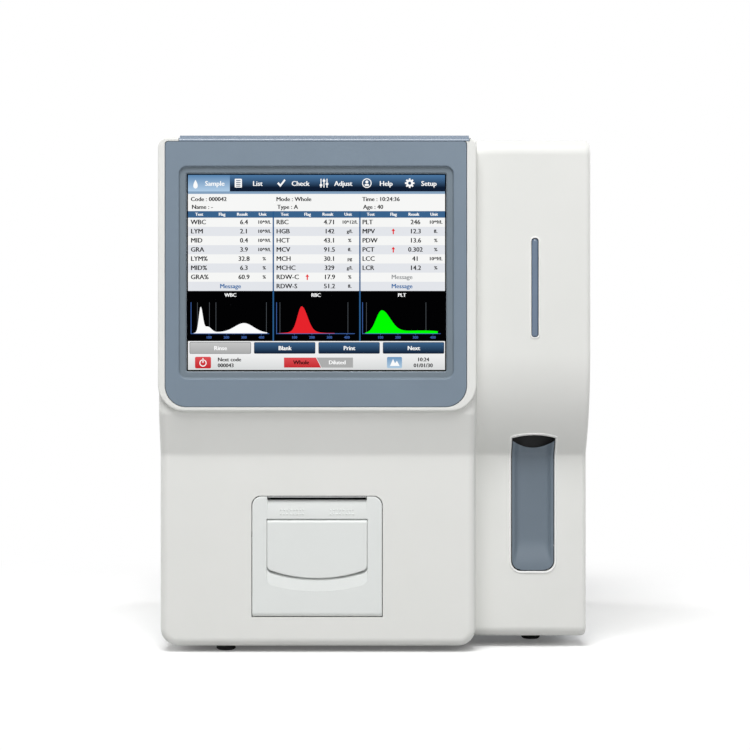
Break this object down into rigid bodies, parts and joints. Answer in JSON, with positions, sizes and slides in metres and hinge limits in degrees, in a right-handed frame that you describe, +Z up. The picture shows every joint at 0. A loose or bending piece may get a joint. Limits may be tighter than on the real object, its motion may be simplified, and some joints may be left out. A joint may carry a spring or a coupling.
{
  "type": "hematology analyzer",
  "caption": "Benchtop blood cell analyzer: white case, angled touch screen hood, hinged thermal printer door, and a sampling tower with a probe, start key and light bar.",
  "frame": {"origin": "on the bench, under the middle of the case's bounding box", "axes": "+Z up, -Y towards the user, +X to the user's right"},
  "size_m": [0.354, 0.38, 0.4242],
  "materials": {
    "white_abs": "injection-moulded ABS with a fine texture, warm white",
    "painted_case": "folded steel sheet, powder coated to match the mouldings",
    "blue_grey_abs": "injection-moulded ABS, blue grey",
    "screen_glass": "touch panel glass",
    "lcd_metal": "pressed steel frame of the display module",
    "zinc_sheet": "zinc-plated steel sheet",
    "steel": "turned or ground stainless steel",
    "aluminium": "machined aluminium, natural anodised",
    "black_plastic": "moulded black nylon",
    "black_rubber": "moulded black rubber",
    "motor_case": "black painted motor case",
    "circuit_board": "glass-fibre board with green solder mask",
    "clear_acrylic": "clear machined acrylic",
    "natural_plastic": "machined natural acetal",
    "thermal_paper": "thermal paper"
  },
  "bodies": {
    "case": {"base_pan": "zinc_sheet", "bath_bracket": "zinc_sheet", "bezel_top_strip": "blue_grey_abs", "carriage_belt": "black_rubber", "carriage_motor": "motor_case", "data_ports": "steel", "divider_plate": "zinc_sheet", "fan_frame": "black_plastic", "fan_guard": "steel", "foot_front_left": "black_rubber", "foot_front_right": "black_rubber", "foot_rear_left": "black_rubber", "foot_rear_right": "black_rubber", "key_bracket": "zinc_sheet", "lcd_bracket": "zinc_sheet", "lcd_module": "lcd_metal", "left_front_cover": "white_abs", "left_side_panel": "painted_case", "main_board": "circuit_board", "power_inlet": "black_plastic", "power_supply": "zinc_sheet", "print_head": "black_plastic", "printer_bucket": "white_abs", "printer_motor": "steel", "probe_frame": "aluminium", "rbc_bath": "clear_acrylic", "reagent_ports": "black_plastic", "rear_panel": "zinc_sheet", "right_side_panel": "painted_case", "screen_bezel": "blue_grey_abs", "start_switch": "black_plastic", "status_led_board": "circuit_board", "status_light_pipe": "clear_acrylic", "syringe_barrel": "clear_acrylic", "syringe_frame": "aluminium", "syringe_motor": "motor_case", "tear_bar": "steel", "top_cover": "painted_case", "touch_glass": "screen_glass", "tower_front_cover": "white_abs", "vacuum_pump": "black_plastic", "valve_block": "natural_plastic", "wbc_bath": "clear_acrylic"},
    "door": {"printer_door": "white_abs"},
    "handle": {"printer_handle": "white_abs"},
    "platen": {"platen_roller": "black_rubber"},
    "pinion": {"printer_pinion": "steel"},
    "paper": {"paper_roll": "thermal_paper"},
    "key": {"aspirate_key": "blue_grey_abs"},
    "carriage": {"probe_carriage": "aluminium", "probe_motor": "motor_case", "wash_block": "natural_plastic"},
    "drive_pulley": {"drive_pulley": "natural_plastic"},
    "idler_pulley": {"idler_pulley": "natural_plastic"},
    "probe": {"probe": "steel"},
    "probe_screw": {"probe_screw": "steel"},
    "plunger": {"syringe_plunger": "natural_plastic"},
    "plunger_screw": {"syringe_screw": "steel"},
    "fan": {"fan_rotor": "black_plastic"},
    "rocker": {"power_switch": "black_plastic"}
  },
  "joints": [
    {"name": "door_hinge", "type": "hinge", "parent": "case", "child": "door", "pos_m": [-0.04765, -0.1706, 0.0331], "axis": [1, 0, 0], "range_deg": [0, 85]},
    {"name": "handle_hinge", "type": "hinge", "parent": "door", "child": "handle", "pos_m": [-0.04765, -0.1706, 0.1064], "axis": [-1, 0, 0], "range_deg": [0, 25], "stiffness_Nm_per_rad": 0.08, "springref_deg": -17.19},
    {"name": "platen_spin", "type": "hinge", "parent": "door", "child": "platen", "pos_m": [-0.04765, -0.162, 0.118], "axis": [1, 0, 0], "continuous": true},
    {"name": "pinion_spin", "type": "hinge", "parent": "case", "child": "pinion", "pos_m": [-0.0034, -0.151, 0.118], "axis": [1, 0, 0], "continuous": true},
    {"name": "paper_spin", "type": "hinge", "parent": "case", "child": "paper", "pos_m": [-0.04765, -0.1347, 0.0651], "axis": [1, 0, 0], "continuous": true},
    {"name": "key_rock", "type": "hinge", "parent": "case", "child": "key", "pos_m": [0.1322, -0.1325, 0.152], "axis": [1, 0, 0], "range_deg": [0, 2.5], "stiffness_Nm_per_rad": 1, "springref_deg": -5.73},
    {"name": "carriage_slide", "type": "slide", "parent": "case", "child": "carriage", "axis": [0, 1, 0], "range_m": [0, 0.09]},
    {"name": "drive_spin", "type": "hinge", "parent": "case", "child": "drive_pulley", "pos_m": [0.0916, -0.029, 0.4008], "axis": [1, 0, 0], "continuous": true},
    {"name": "idler_spin", "type": "hinge", "parent": "case", "child": "idler_pulley", "pos_m": [0.0916, -0.153, 0.4008], "axis": [1, 0, 0], "continuous": true},
    {"name": "probe_slide", "type": "slide", "parent": "carriage", "child": "probe", "axis": [0, 0, -1], "range_m": [0, 0.07]},
    {"name": "probe_screw_spin", "type": "hinge", "parent": "carriage", "child": "probe_screw", "pos_m": [0.1203, -0.1547, 0.296], "axis": [0, 0, 1], "continuous": true},
    {"name": "syringe_slide", "type": "slide", "parent": "case", "child": "plunger", "axis": [0, 0, -1], "range_m": [0, 0.04]},
    {"name": "syringe_screw_spin", "type": "hinge", "parent": "case", "child": "plunger_screw", "pos_m": [0.1228, 0.04225, 0.0597], "axis": [0, 0, 1], "continuous": true},
    {"name": "fan_spin", "type": "hinge", "parent": "case", "child": "fan", "pos_m": [-0.07, 0.1625, 0.29], "axis": [0, 1, 0], "continuous": true},
    {"name": "power_rocker", "type": "hinge", "parent": "case", "child": "rocker", "pos_m": [-0.097, 0.1815, 0.058], "axis": [-1, 0, 0], "range_deg": [0, 11]}
  ],
  "couplings": [
    {"joint": "pinion_spin", "follows": "platen_spin", "ratio": -1.2},
    {"joint": "drive_spin", "follows": "carriage_slide", "rad_per_m": 147.06},
    {"joint": "idler_spin", "follows": "carriage_slide", "rad_per_m": 147.06},
    {"joint": "probe_screw_spin", "follows": "probe_slide", "rad_per_m": 628.32},
    {"joint": "syringe_screw_spin", "follows": "syringe_slide", "rad_per_m": 785.4}
  ]
}
